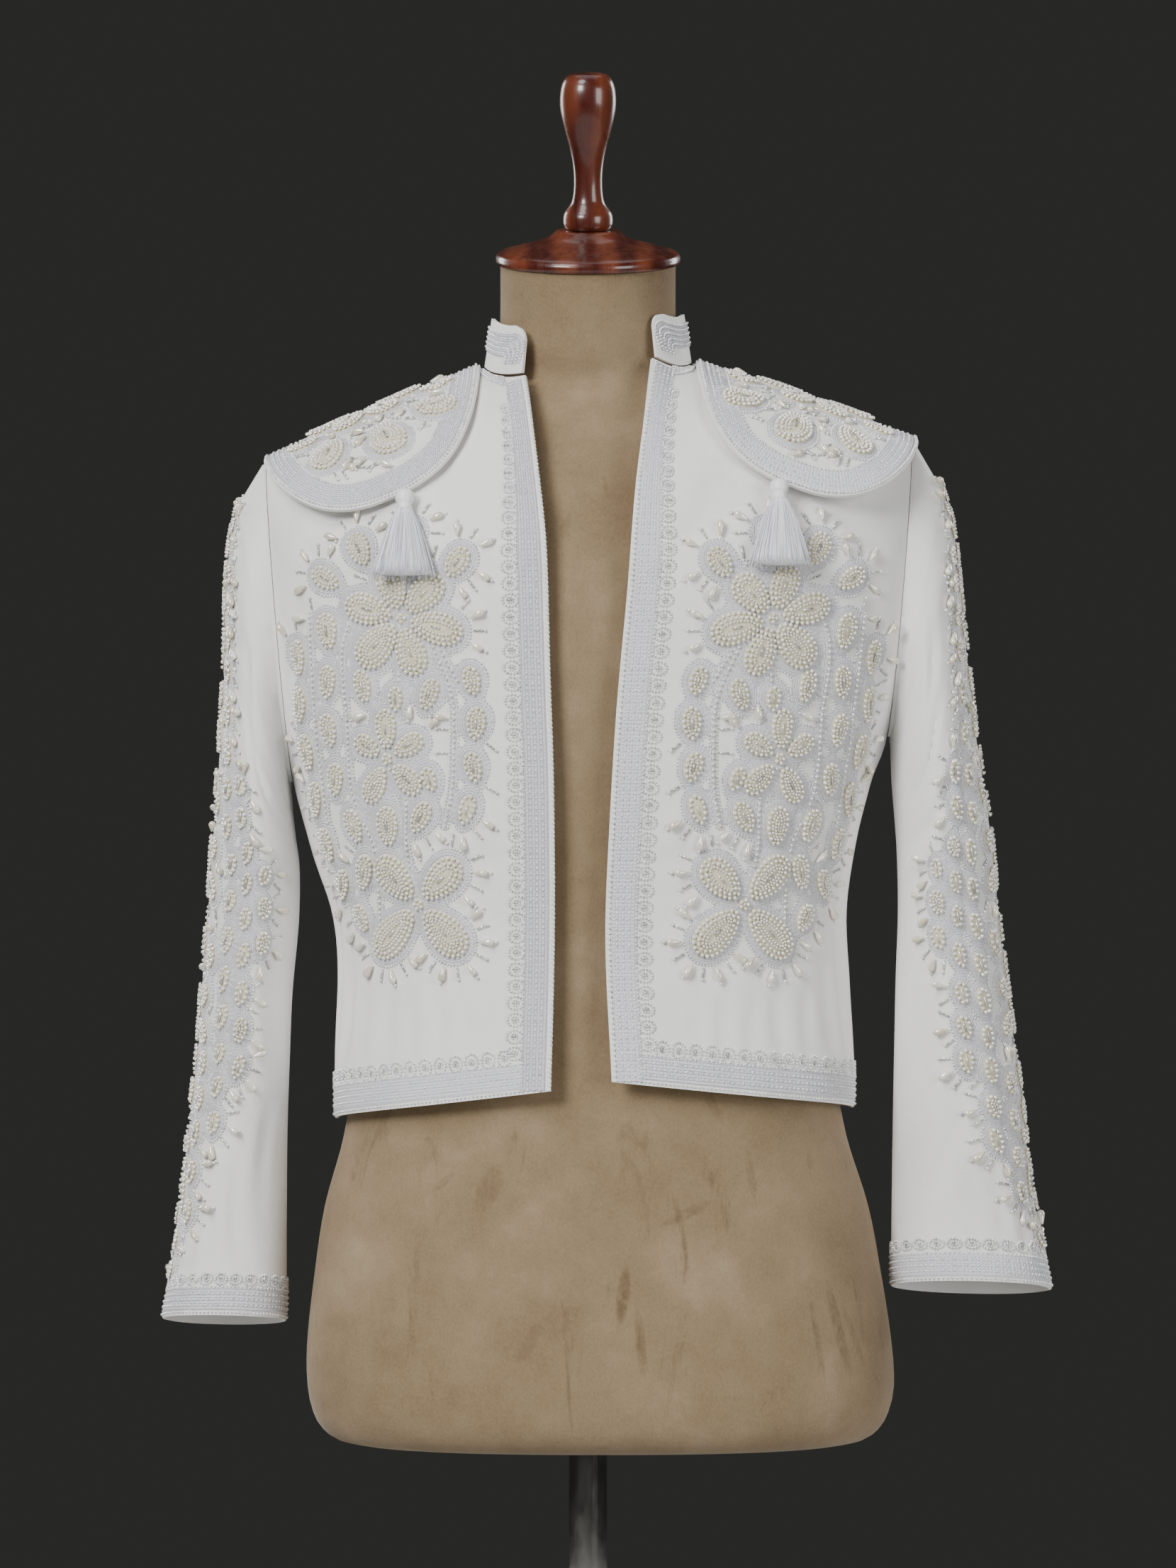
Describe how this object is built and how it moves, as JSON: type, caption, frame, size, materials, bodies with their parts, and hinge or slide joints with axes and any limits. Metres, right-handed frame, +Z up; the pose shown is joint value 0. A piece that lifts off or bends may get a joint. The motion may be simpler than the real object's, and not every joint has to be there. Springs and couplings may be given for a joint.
{
  "type": "matador jacket on a dress form",
  "caption": "Short white matador jacket with beaded flowers, pearl drops, braid, shoulder flaps and silk tassels, open at the front on a limbless dress form.",
  "frame": {"origin": "on the floor under the pole, at the middle of the base's underside", "axes": "+Z up, +X the wearer's left, the jacket's open front faces -Y"},
  "size_m": [0.6303, 0.34, 1.3345],
  "materials": {
    "cloth": "warm white twill, faint sheen",
    "braid": "lavender-white chain-stitched cord",
    "pearl": "padded appliques covered with ivory pearls",
    "silk": "loose silk strands",
    "suede": "tan suede cloth, brushed and stained",
    "wood": "red-brown gloss varnish",
    "chrome": "polished",
    "base": "dark satin paint"
  },
  "bodies": {
    "root": {"front_right": "cloth", "front_left": "cloth", "back": "cloth", "sleeve_right": "cloth", "sleeve_left": "cloth", "collar": "cloth", "flap_right": "cloth", "flap_left": "cloth", "front_braid_right": "braid", "front_braid_left": "braid", "hem_braid": "braid", "cuff_braid_right": "braid", "cuff_braid_left": "braid", "flap_braid_right": "braid", "flap_braid_left": "braid", "chest_flower_upper_right": "pearl", "chest_flower_upper_left": "pearl", "chest_flower_middle_right": "pearl", "chest_flower_middle_left": "pearl", "chest_flower_lower_right": "pearl", "chest_flower_lower_left": "pearl", "sleeve_flower_one_right": "pearl", "sleeve_flower_one_left": "pearl", "sleeve_flower_two_right": "pearl", "sleeve_flower_two_left": "pearl", "sleeve_flower_three_right": "pearl", "sleeve_flower_three_left": "pearl", "sleeve_flower_four_right": "pearl", "sleeve_flower_four_left": "pearl", "sleeve_flower_five_right": "pearl", "sleeve_flower_five_left": "pearl", "flap_flower_right": "pearl", "flap_flower_left": "pearl", "tassel_right": "silk", "tassel_left": "silk", "dress_form": "suede", "neck_cap": "wood", "handle": "wood", "pole": "chrome", "base": "base"}
  },
  "joints": []
}
